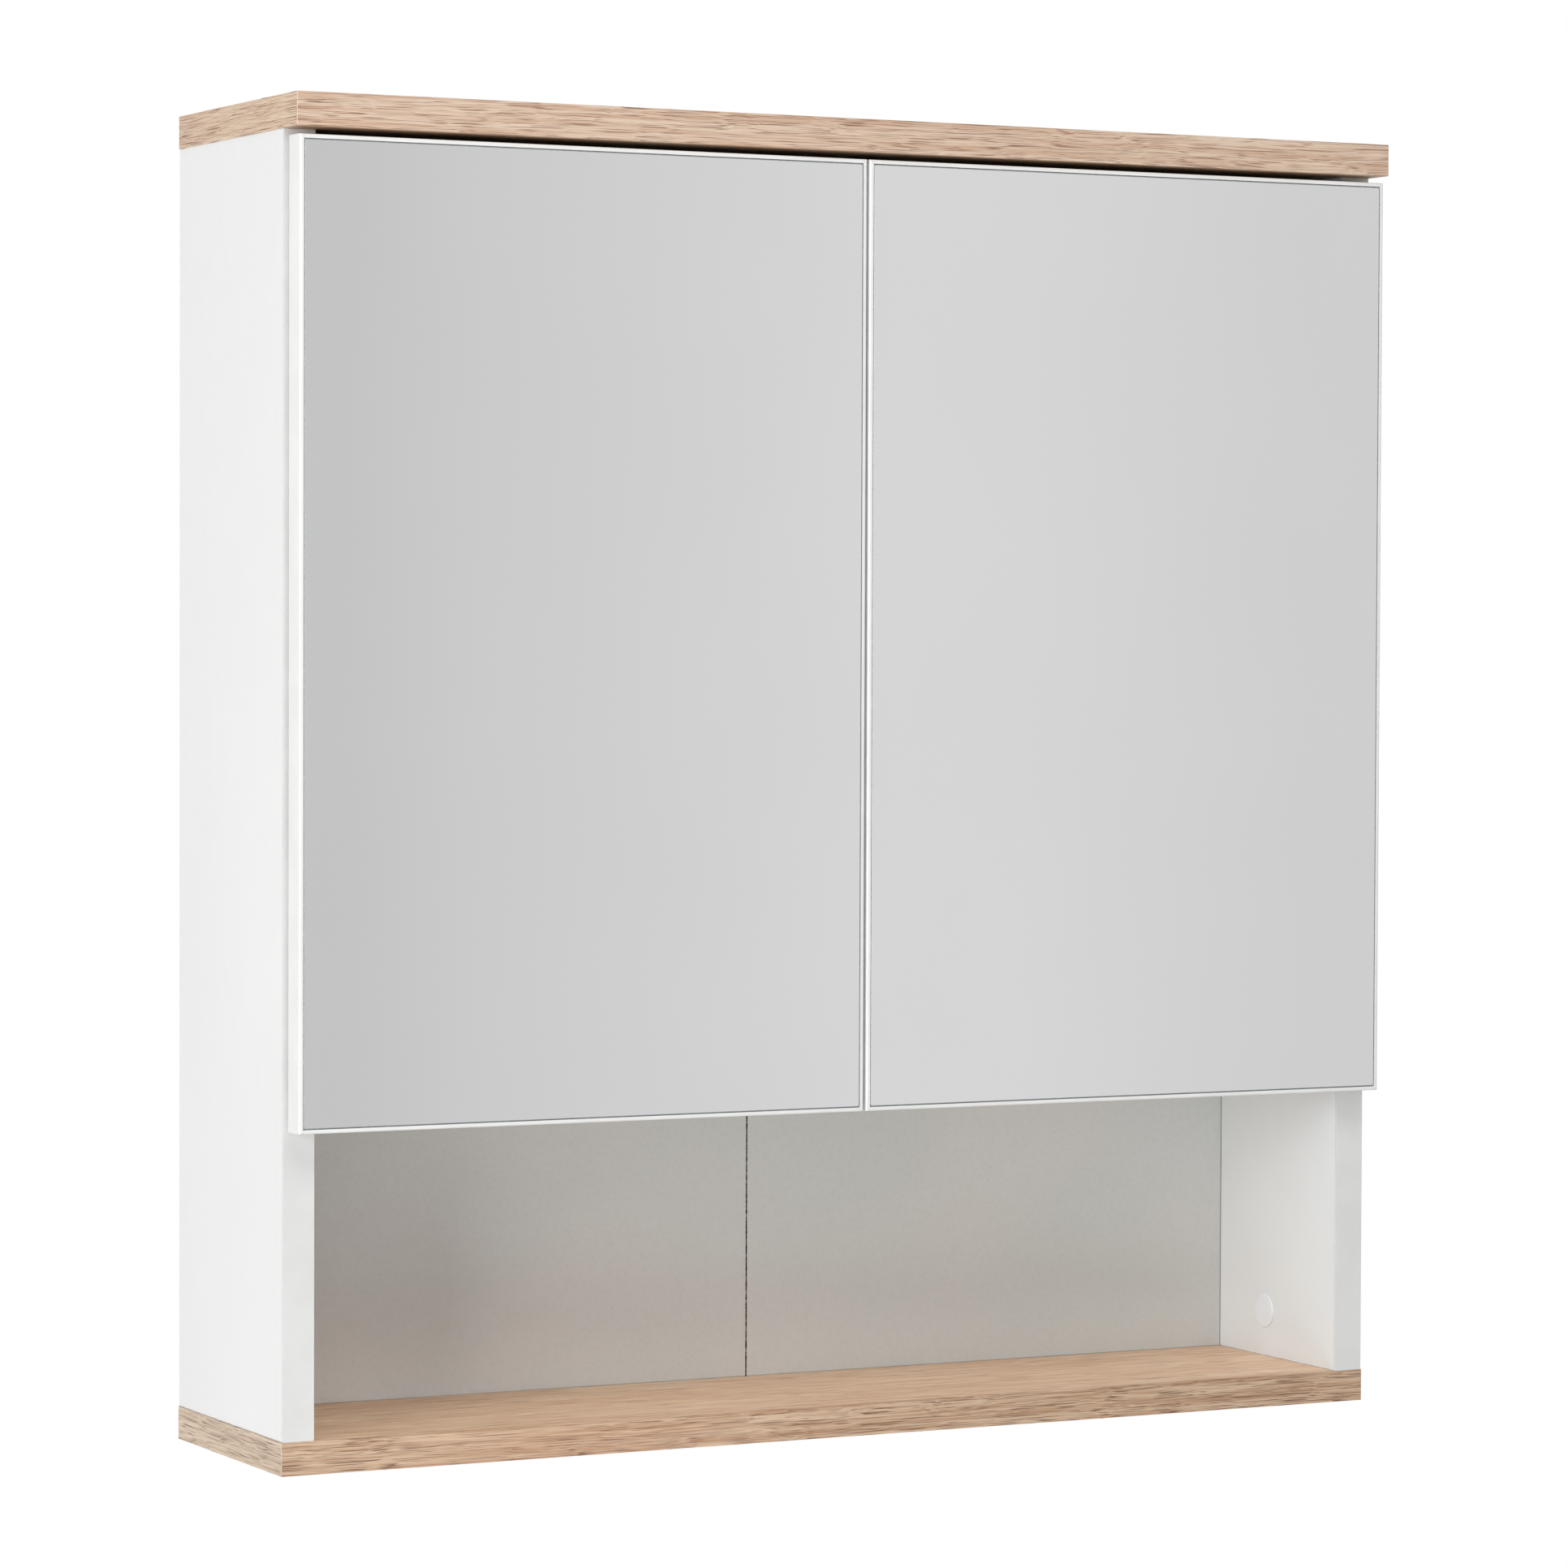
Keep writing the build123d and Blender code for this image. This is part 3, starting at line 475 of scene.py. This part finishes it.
def crepe_tape(name):
    """Paper tape over the fold: off-white with fine crossways creases."""
    finish = Finish(name, tint(214, 206, 186), 0.75)
    creases = finish.cloud(finish.stretched((120, 120, 1400)), detail=4, roughness=0.65)
    stain = finish.cloud(finish.stretched((40, 40, 12)), detail=3)
    finish.set("Base Color", finish.between(finish.rise(stain, 0.3, 0.7), tint(206, 197, 174),
                                            tint(220, 213, 195)))
    finish.set("Normal", finish.relief(creases, 0.08 * MM))
    return finish.material


# ---------------------------------------------------------------- new surfaces
def shell(name, corners, faces, body, stands_for, materials, material_index=None,
          smooth=None):
    """A piece from arrays of corners and faces, riding on a body in place of CAD nodes."""
    mesh = bpy.data.meshes.new(name)
    mesh.from_pydata(corners.tolist(), [], faces)
    for material in materials:
        mesh.materials.append(material)
    if material_index is not None:
        mesh.polygons.foreach_set("material_index", np.asarray(material_index, np.int32))
    mesh.polygons.foreach_set("use_smooth", np.asarray(
        np.ones(len(faces)) if smooth is None else smooth, bool))
    mesh.update()
    made = bpy.data.objects.new(name, mesh)
    bpy.context.scene.collection.objects.link(made)
    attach(made, body)
    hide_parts(*stands_for)
    return made


def ring_faces(rings, count):
    """Quads between neighbouring closed rings of count corners each."""
    ring, step = np.meshgrid(np.arange(rings - 1), np.arange(count), indexing="ij")
    after = (step + 1) % count
    quads = np.stack([ring * count + step, ring * count + after,
                      (ring + 1) * count + after, (ring + 1) * count + step], axis=-1)
    return quads.reshape(-1, 4)


def mirror_pane(side):
    """Mirror glass: the outline of a rectangle with rounded corners, carried from the front
    face over a 45 degree arris down the edge to the back. Each ring is the outline moved
    inward by an inset and set at its own depth."""
    node = f"door_mirror_{side}"
    low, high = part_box(node)
    corner_radius, arris = 0.6 * MM, 0.55 * MM
    profile = np.array([
        (arris, low.y),
        (arris, low.y),
        (0.0, low.y + arris),
        (0.0, low.y + arris),
        (0.0, high.y),
        (0.0, high.y),
    ])
    turns = np.linspace(0, math.pi / 2, 7)
    quarter = np.arange(4)[:, None] * math.pi / 2 + turns[None, :]
    sign_x = np.array([1, -1, -1, 1])[:, None]
    sign_z = np.array([1, 1, -1, -1])[:, None]
    middle_x, middle_z = (low.x + high.x) / 2, (low.z + high.z) / 2
    half_x, half_z = (high.x - low.x) / 2, (high.z - low.z) / 2
    rings = []
    for inset, depth in profile:
        radius = corner_radius + 0.4 * inset
        x = sign_x * (half_x - inset - radius) + radius * np.cos(quarter)
        z = sign_z * (half_z - inset - radius) + radius * np.sin(quarter)
        rings.append(np.stack([middle_x + x.ravel(), np.full(x.size, depth),
                               middle_z + z.ravel()], axis=-1))
    count = len(rings[0])
    corners = np.concatenate(rings)
    # the doubled rings part the flat faces, so each keeps its own shading
    bands = ring_faces(len(rings), count).reshape(len(rings) - 1, count, 4)
    arris_faces, edge_faces = bands[1], bands[3]
    front = list(range(count))
    back = list(range((len(rings) - 1) * count, len(rings) * count))[::-1]
    faces = [front, *arris_faces.tolist(), *edge_faces.tolist(), back]
    finishes = [0] + [1] * (2 * count) + [2]
    made = shell(f"mirror_pane_{side}", corners, faces, f"door_{side}", [node],
                 [mirror_silver, mirror_edge, mirror_back], finishes,
                 [False] * len(faces))
    weld = made.modifiers.new("joined rings", "WELD")
    weld.merge_threshold = 0.001 * MM
    return made


def turned_profile(profile, count):
    """Corners of a profile of (radius, height) turned round an axis, with a single pole at
    each end: x = r cos t, y = r sin t, z = h."""
    turn = np.linspace(0, 2 * math.pi, count, endpoint=False)
    radius, height = profile[1:-1, 0][:, None], profile[1:-1, 1][:, None]
    rings = np.stack([radius * np.cos(turn), radius * np.sin(turn),
                      np.broadcast_to(height, (len(radius), count))], axis=-1)
    poles = np.array([[0, 0, profile[0, 1]], [0, 0, profile[-1, 1]]])
    corners = np.concatenate([rings.reshape(-1, 3), poles])
    step = np.arange(count)
    after = (step + 1) % count
    top, bottom = len(corners) - 2, len(corners) - 1
    last = (len(radius) - 1) * count
    faces = ring_faces(len(radius), count)[:, ::-1].tolist()
    faces += np.stack([np.full(count, top), step, after], axis=-1).tolist()
    faces += np.stack([np.full(count, bottom), last + after, last + step], axis=-1).tolist()
    return corners, faces


def crowned_discs(name, places, outward, radius, height, crown, stem, body, node,
                  material):
    """Low round covers at several places. The profile falls from the crown as the square of
    the radius, turns down round the rim in a quarter circle, and ends in a short stem."""
    rim = 0.55 * min(height, 1.4 * MM)
    share = np.linspace(0, 1, 16)
    face = np.stack([share * (radius - rim), height - crown * share**2], axis=-1)
    turn = np.linspace(0, math.pi / 2, 8)[1:]
    edge_height = height - crown - rim
    edge = np.stack([radius - rim + rim * np.sin(turn), edge_height + rim * np.cos(turn)], axis=-1)
    foot = [(radius, 0.12 * MM), (radius - 0.12 * MM, 0.0)]
    if stem:
        foot += [(stem[0] + 0.2 * MM, 0.0), (stem[0], -0.2 * MM), (stem[0], -stem[1] + 0.3 * MM),
                 (stem[0] - 0.3 * MM, -stem[1])]
    foot.append((0.0, -stem[1] if stem else 0.0))
    profile = np.concatenate([face, edge, np.array(foot)])
    corners, faces = turned_profile(profile, 64)
    all_corners, all_faces = [], []
    for place, way in zip(places, outward):
        turn_to = np.array(Vector((0, 0, 1)).rotation_difference(Vector(way)).to_matrix())
        shift = len(corners) * len(all_corners)
        all_corners.append(corners @ turn_to.T + np.array(place))
        all_faces += [[index + shift for index in face_corners] for face_corners in faces]
    return shell(name, np.concatenate(all_corners), all_faces, body, [node], [material])


def cap_places(joint):
    """Middles of the two cam caps' seats on the board, and the way that they face."""
    low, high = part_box(f"cam_caps_{joint}")
    middle_y, middle_z = (low.y + high.y) / 2, (low.z + high.z) / 2
    if joint == "floor":
        seat_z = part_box("cabinet_floor")[0].z
        reach = high.x - (high.y - low.y) / 2
        return [(-reach, middle_y, seat_z), (reach, middle_y, seat_z)], [(0, 0, -1)] * 2
    return ([(-panel_inner_x, middle_y, middle_z), (panel_inner_x, middle_y, middle_z)],
            [(1, 0, 0), (-1, 0, 0)])


# ---------------------------------------------------------------- edges of the CAD pieces
def edge_steps(name, flattest):
    """Mesh steps for a CAD piece: corners at one place are joined, stored normals dropped,
    and an edge is left sharp only where its faces turn by more than the given angle."""
    tree = bpy.data.node_groups.new(name, "GeometryNodeTree")
    tree.interface.new_socket("Mesh", in_out="INPUT", socket_type="NodeSocketGeometry")
    tree.interface.new_socket("Mesh", in_out="OUTPUT", socket_type="NodeSocketGeometry")
    add, link = tree.nodes.new, tree.links.new
    start, end = add("NodeGroupInput"), add("NodeGroupOutput")
    merge = add("GeometryNodeMergeByDistance")
    merge.inputs["Distance"].default_value = 0.001 * MM
    forget = add("GeometryNodeRemoveAttribute")
    forget.inputs["Name"].default_value = "custom_normal"
    faces = add("GeometryNodeSetShadeSmooth")
    edges = add("GeometryNodeSetShadeSmooth")
    edges.domain = "EDGE"
    angle = add("GeometryNodeInputMeshEdgeAngle")
    flat = add("FunctionNodeCompare")
    flat.data_type, flat.operation = "FLOAT", "LESS_EQUAL"
    flat.inputs["B"].default_value = flattest
    link(angle.outputs["Unsigned Angle"], flat.inputs["A"])
    link(start.outputs[0], merge.inputs["Geometry"])
    link(merge.outputs["Geometry"], forget.inputs["Geometry"])
    link(forget.outputs["Geometry"], faces.inputs["Geometry"])
    link(faces.outputs["Geometry"], edges.inputs["Geometry"])
    link(flat.outputs["Result"], edges.inputs["Shade Smooth"])
    link(edges.outputs["Geometry"], end.inputs[0])
    return tree


def soften(node, width):
    """Breaks the sharp edges of a CAD piece by a small rounded chamfer."""
    join = node.modifiers.new("joined corners", "NODES")
    join.node_group = joined_corners
    bevel = node.modifiers.new("broken edges", "BEVEL")
    bevel.width = width
    bevel.segments = 2
    bevel.limit_method = "ANGLE"
    bevel.angle_limit = sharp_turn
    bevel.harden_normals = True
    bevel.use_clamp_overlap = True
    bevel.miter_outer = "MITER_ARC"


def dress(node_name, material, edge=0.0):
    """Gives a CAD piece its material in every slot, and breaks its edges."""
    node = nodes[node_name]
    for slot in node.material_slots:
        slot.material = material
    if edge:
        soften(node, edge)


joined_corners = edge_steps("joined corners", sharp_turn)

# ---------------------------------------------------------------- finishes of this cabinet
BAND_FRONTS = {
    "oak band top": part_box("top_board_bands")[0].y,
    "oak band bottom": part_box("bottom_board_bands")[0].y,
}
oak_top = oak_foil("oak foil top", tint(232, 207, 184), tint(206, 172, 142), tint(158, 116, 88))
oak_bottom = oak_foil("oak foil bottom", tint(252, 222, 192), tint(236, 194, 156),
                      tint(190, 140, 106))
oak_top_band = oak_band("oak band top", tint(230, 208, 187), tint(208, 173, 147),
                        tint(140, 98, 76), tint(214, 194, 162), 0.22)
oak_bottom_band = oak_band("oak band bottom", tint(216, 189, 162), tint(182, 144, 114),
                           tint(108, 72, 52), tint(239, 231, 212), 0.38)
white = tint(241, 241, 241)
white_side = melamine("white melamine side", white, "X")
white_shelf = melamine("white melamine shelf", white, "Z")
white_door = melamine("white melamine door", white, "Y")
white_thin_band = satin_band("white thin band", tint(227, 227, 226), 0.4)
white_thick_band = satin_band("white thick band", tint(242, 242, 241), 0.34)
back_board = hardboard("lacquered hardboard")
mirror_silver = silvering("mirror silver")
mirror_edge = glass_arris("glass edge")
mirror_back = backing_paint("mirror backing paint")
white_cap = moulded_plastic("white cap plastic", tint(236, 242, 247), 0.36)
clear_silicone = silicone("clear silicone")
nickel = plated_steel("nickel plating", (0.66, 0.645, 0.61, 1.0), (0.55, 0.535, 0.50, 1.0), 0.26)
bright_pin = plated_steel("bright pin steel", (0.64, 0.63, 0.61, 1.0), (0.52, 0.51, 0.49, 1.0),
                          0.22)
zinc_sheet = plated_steel("zinc sheet", (0.60, 0.62, 0.65, 1.0), (0.42, 0.44, 0.48, 1.0), 0.34,
                          spangle=0.55)
screw_steel = plated_steel("screw steel", (0.56, 0.57, 0.59, 1.0), (0.40, 0.41, 0.43, 1.0), 0.3)
cam_zinc = cast_zinc("cast zinc")
dowel_beech = beech("beech")
fold_tape = crepe_tape("crepe tape")

# ---------------------------------------------------------------- the CAD pieces' looks
dress("top_board", oak_top)
dress("bottom_board", oak_bottom)
dress("top_board_bands", oak_top_band, 0.22 * MM)
dress("bottom_board_bands", oak_bottom_band, 0.22 * MM)
for side in ("left", "right"):
    dress(f"side_panel_{side}", white_side)
    dress(f"back_panel_{side}", back_board)
    dress(f"door_core_{side}", white_door, 0.12 * MM)
    dress(f"door_bands_{side}", white_thick_band, 0.15 * MM)
    dress(f"wall_hanger_{side}", zinc_sheet, 0.35 * MM)
    dress(f"hinge_pins_{side}", bright_pin)
    dress(f"hinge_cup_screws_{side}", screw_steel, 0.12 * MM)
    for level in ("upper", "lower"):
        dress(f"hinge_arm_{side}_{level}", nickel, 0.25 * MM)
        dress(f"hinge_plate_{side}_{level}", nickel, 0.30 * MM)
        dress(f"hinge_cup_{side}_{level}", nickel, 0.10 * MM)
for level in ("lower", "upper"):
    dress(f"shelf_{level}", white_shelf)
    dress(f"shelf_pins_{level}", bright_pin, 0.2 * MM)
dress("cabinet_floor", white_shelf)
dress("side_panel_bands", white_thin_band, 0.2 * MM)
dress("cabinet_floor_band", white_thin_band, 0.2 * MM)
dress("shelf_bands", white_thin_band, 0.2 * MM)
dress("back_fold_tape", fold_tape)
for joint in ("top", "bottom", "floor"):
    dress(f"cam_housings_{joint}", cam_zinc, 0.15 * MM)
    dress(f"cam_bolts_{joint}", screw_steel, 0.2 * MM)
    dress(f"dowels_{joint}", dowel_beech, 0.4 * MM)
for screws in ("wall_hanger_screws", "hinge_plate_screws", "hinge_arm_screws"):
    dress(screws, screw_steel, 0.15 * MM)

# ---------------------------------------------------------------- pieces with a finer shape
for side in ("left", "right"):
    mirror_pane(side)

cap_low, cap_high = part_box("cam_caps_bottom")
cap_radius = (cap_high.z - cap_low.z) / 2
floor_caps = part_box("cam_caps_floor")
cap_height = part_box("cabinet_floor")[0].z - floor_caps[0].z
cap_stem = floor_caps[1].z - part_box("cabinet_floor")[0].z
for joint in ("top", "bottom", "floor"):
    seats, ways = cap_places(joint)
    crowned_discs(f"cam_cap_domes_{joint}", seats, ways, cap_radius, cap_height, 0.3 * MM,
                  (2.0 * MM, cap_stem), "cabinet", f"cam_caps_{joint}", white_cap)

for side in ("left", "right"):
    low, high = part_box(f"door_bumpers_{side}")
    bumper_radius = (high.z - low.z) / 2
    seats = [(x, low.y, (low.z + high.z) / 2)
             for x in (low.x + bumper_radius, high.x - bumper_radius)]
    crowned_discs(f"bumper_domes_{side}", seats, [(0, 1, 0)] * 2, bumper_radius, high.y - low.y,
                  0.35 * MM, None, f"door_{side}", f"door_bumpers_{side}",
                  clear_silicone)


# ---------------------------------------------------------------- room, light and camera
def pale_floor(depth, reach):
    """A level square floor under the cabinet."""
    mesh = bpy.data.meshes.new("pale_floor")
    corners = np.array([(-1, -1), (1, -1), (1, 1), (-1, 1)]) * reach
    mesh.from_pydata(np.column_stack([corners, np.full(4, depth)]).tolist(), [], [(0, 1, 2, 3)])
    floor = bpy.data.objects.new("pale_floor", mesh)
    bpy.context.scene.collection.objects.link(floor)
    finish = Finish("pale floor", tint(232, 232, 230), 0.7)
    cloudy = finish.cloud(finish.stretched((3, 3, 3)), detail=4)
    finish.set("Base Color", finish.between(cloudy, tint(228, 228, 226), tint(236, 236, 235)))
    mesh.materials.append(finish.material)


def studio_world():
    """White surround for the camera, and a soft grey room for light. Brightness is a run of
    steps over the compass angle; what polished surfaces reflect is brighter than the fill."""
    world = bpy.data.worlds.new("studio")
    bpy.context.scene.world = world
    world.use_nodes = True
    tree = world.node_tree
    add, link = tree.nodes.new, tree.links.new
    tree.nodes.clear()
    split = add("ShaderNodeSeparateXYZ")
    link(add("ShaderNodeTexCoord").outputs["Generated"], split.inputs[0])
    back_to_front = add("ShaderNodeMath")
    back_to_front.operation = "MULTIPLY"
    back_to_front.inputs[1].default_value = -1.0
    link(split.outputs["Y"], back_to_front.inputs[0])
    angle = add("ShaderNodeMath")
    angle.operation = "ARCTAN2"
    link(split.outputs["X"], angle.inputs[0])
    link(back_to_front.outputs[0], angle.inputs[1])
    turn = add("ShaderNodeMapRange")
    link(angle.outputs[0], turn.inputs["Value"])
    turn.inputs["From Min"].default_value = -math.pi
    turn.inputs["From Max"].default_value = math.pi
    slope = add("ShaderNodeMath")
    slope.operation = "ABSOLUTE"
    link(split.outputs["Z"], slope.inputs[0])

    def room(lights, steep):
        """One version of the room: its light round the compass, and up and down."""
        around = add("ShaderNodeValToRGB")
        around.color_ramp.interpolation = "EASE"
        stops = around.color_ramp.elements
        while len(stops) < len(lights):
            stops.new(0.5)
        for stop, (degrees, light) in zip(stops, lights):
            stop.position = (degrees + 180) / 360
            stop.color = (light, light, light, 1.0)
        link(turn.outputs["Result"], around.inputs["Fac"])
        upward = add("ShaderNodeMapRange")
        upward.interpolation_type = "SMOOTHSTEP"
        link(slope.outputs[0], upward.inputs["Value"])
        for index, value in enumerate((0.1, 0.5, 1.0, steep)):
            upward.inputs[index + 1].default_value = value
        shade = add("ShaderNodeBackground")
        link(around.outputs["Color"], shade.inputs["Color"])
        link(upward.outputs["Result"], shade.inputs["Strength"])
        return shade.outputs[0]

    reflected = room(((-180, 0.60), (-90, 0.74), (-20, 0.66), (10, 0.58), (22, 0.60),
                      (25, 0.68), (28.5, 0.74), (33, 0.675), (45, 0.62), (180, 0.60)), 1.2)
    fill = room(((-180, 0.40), (-110, 0.44), (-60, 0.34), (-15, 0.22), (10, 0.24), (30, 0.38),
                 (60, 0.38), (180, 0.36)), 1.35)
    backdrop = add("ShaderNodeBackground")
    backdrop.inputs["Color"].default_value = (1, 1, 1, 1)
    path = add("ShaderNodeLightPath")
    lit, seen = add("ShaderNodeMixShader"), add("ShaderNodeMixShader")
    link(path.outputs["Is Glossy Ray"], lit.inputs[0])
    link(fill, lit.inputs[1])
    link(reflected, lit.inputs[2])
    link(path.outputs["Is Camera Ray"], seen.inputs[0])
    link(lit.outputs[0], seen.inputs[1])
    link(backdrop.outputs[0], seen.inputs[2])
    link(seen.outputs[0], add("ShaderNodeOutputWorld").inputs["Surface"])


def soft_box(name, place, aim, size, power, spread=180):
    """A soft area light, its cone narrowed to the spread in degrees."""
    light = bpy.data.lights.new(name, "AREA")
    light.shape = "RECTANGLE"
    light.size, light.size_y = size
    light.energy = power
    light.spread = math.radians(spread)
    lamp = bpy.data.objects.new(name, light)
    bpy.context.scene.collection.objects.link(lamp)
    lamp.location = place
    lamp.rotation_euler = (Vector(aim) - Vector(place)).to_track_quat("-Z", "Y").to_euler()


def eye_level_camera():
    """Camera to the left of the middle, slightly below the top of the cabinet, level but for
    a small tilt: forward, right and up are worked out from yaw, pitch and roll."""
    yaw, pitch, roll = (math.radians(angle) for angle in (26.9893, -1.6938, 0.2128))
    forward = Vector((math.sin(yaw) * math.cos(pitch), math.cos(yaw) * math.cos(pitch),
                      math.sin(pitch)))
    level = Vector((math.cos(yaw), -math.sin(yaw), 0))
    upright = level.cross(forward)
    right = level * math.cos(roll) + upright * math.sin(roll)
    up = upright * math.cos(roll) - level * math.sin(roll)
    lens = bpy.data.cameras.new("camera")
    lens.lens = 127.535
    lens.sensor_width = 36.0
    lens.clip_start = 0.01
    eye = bpy.data.objects.new("camera", lens)
    bpy.context.scene.collection.objects.link(eye)
    eye.matrix_world = Matrix((
        (right.x, up.x, -forward.x, -1.27081),
        (right.y, up.y, -forward.y, -2.55884),
        (right.z, up.z, -forward.z, -0.18844),
        (0, 0, 0, 1),
    ))
    bpy.context.scene.camera = eye


bpy.context.scene.view_settings.view_transform = "Standard"
pale_floor(cad_low.z - 1.15, 4.0)
studio_world()
soft_box("key", (-2.45, -1.50, -0.10), (0, -0.1, -0.35), (1.1, 1.4), 41)
soft_box("front_high", (-0.3, -1.55, 1.35), (0, -0.1, -0.5), (1.8, 0.8), 15)
soft_box("front_low", (-0.5, -1.4, -1.5), (0, -0.1, -0.5), (1.8, 0.8), 6)
soft_box("niche_lift", (0.60, -1.30, -0.52), (-0.23, 0, -0.60), (0.12, 0.08), 0.012, 10)
eye_level_camera()
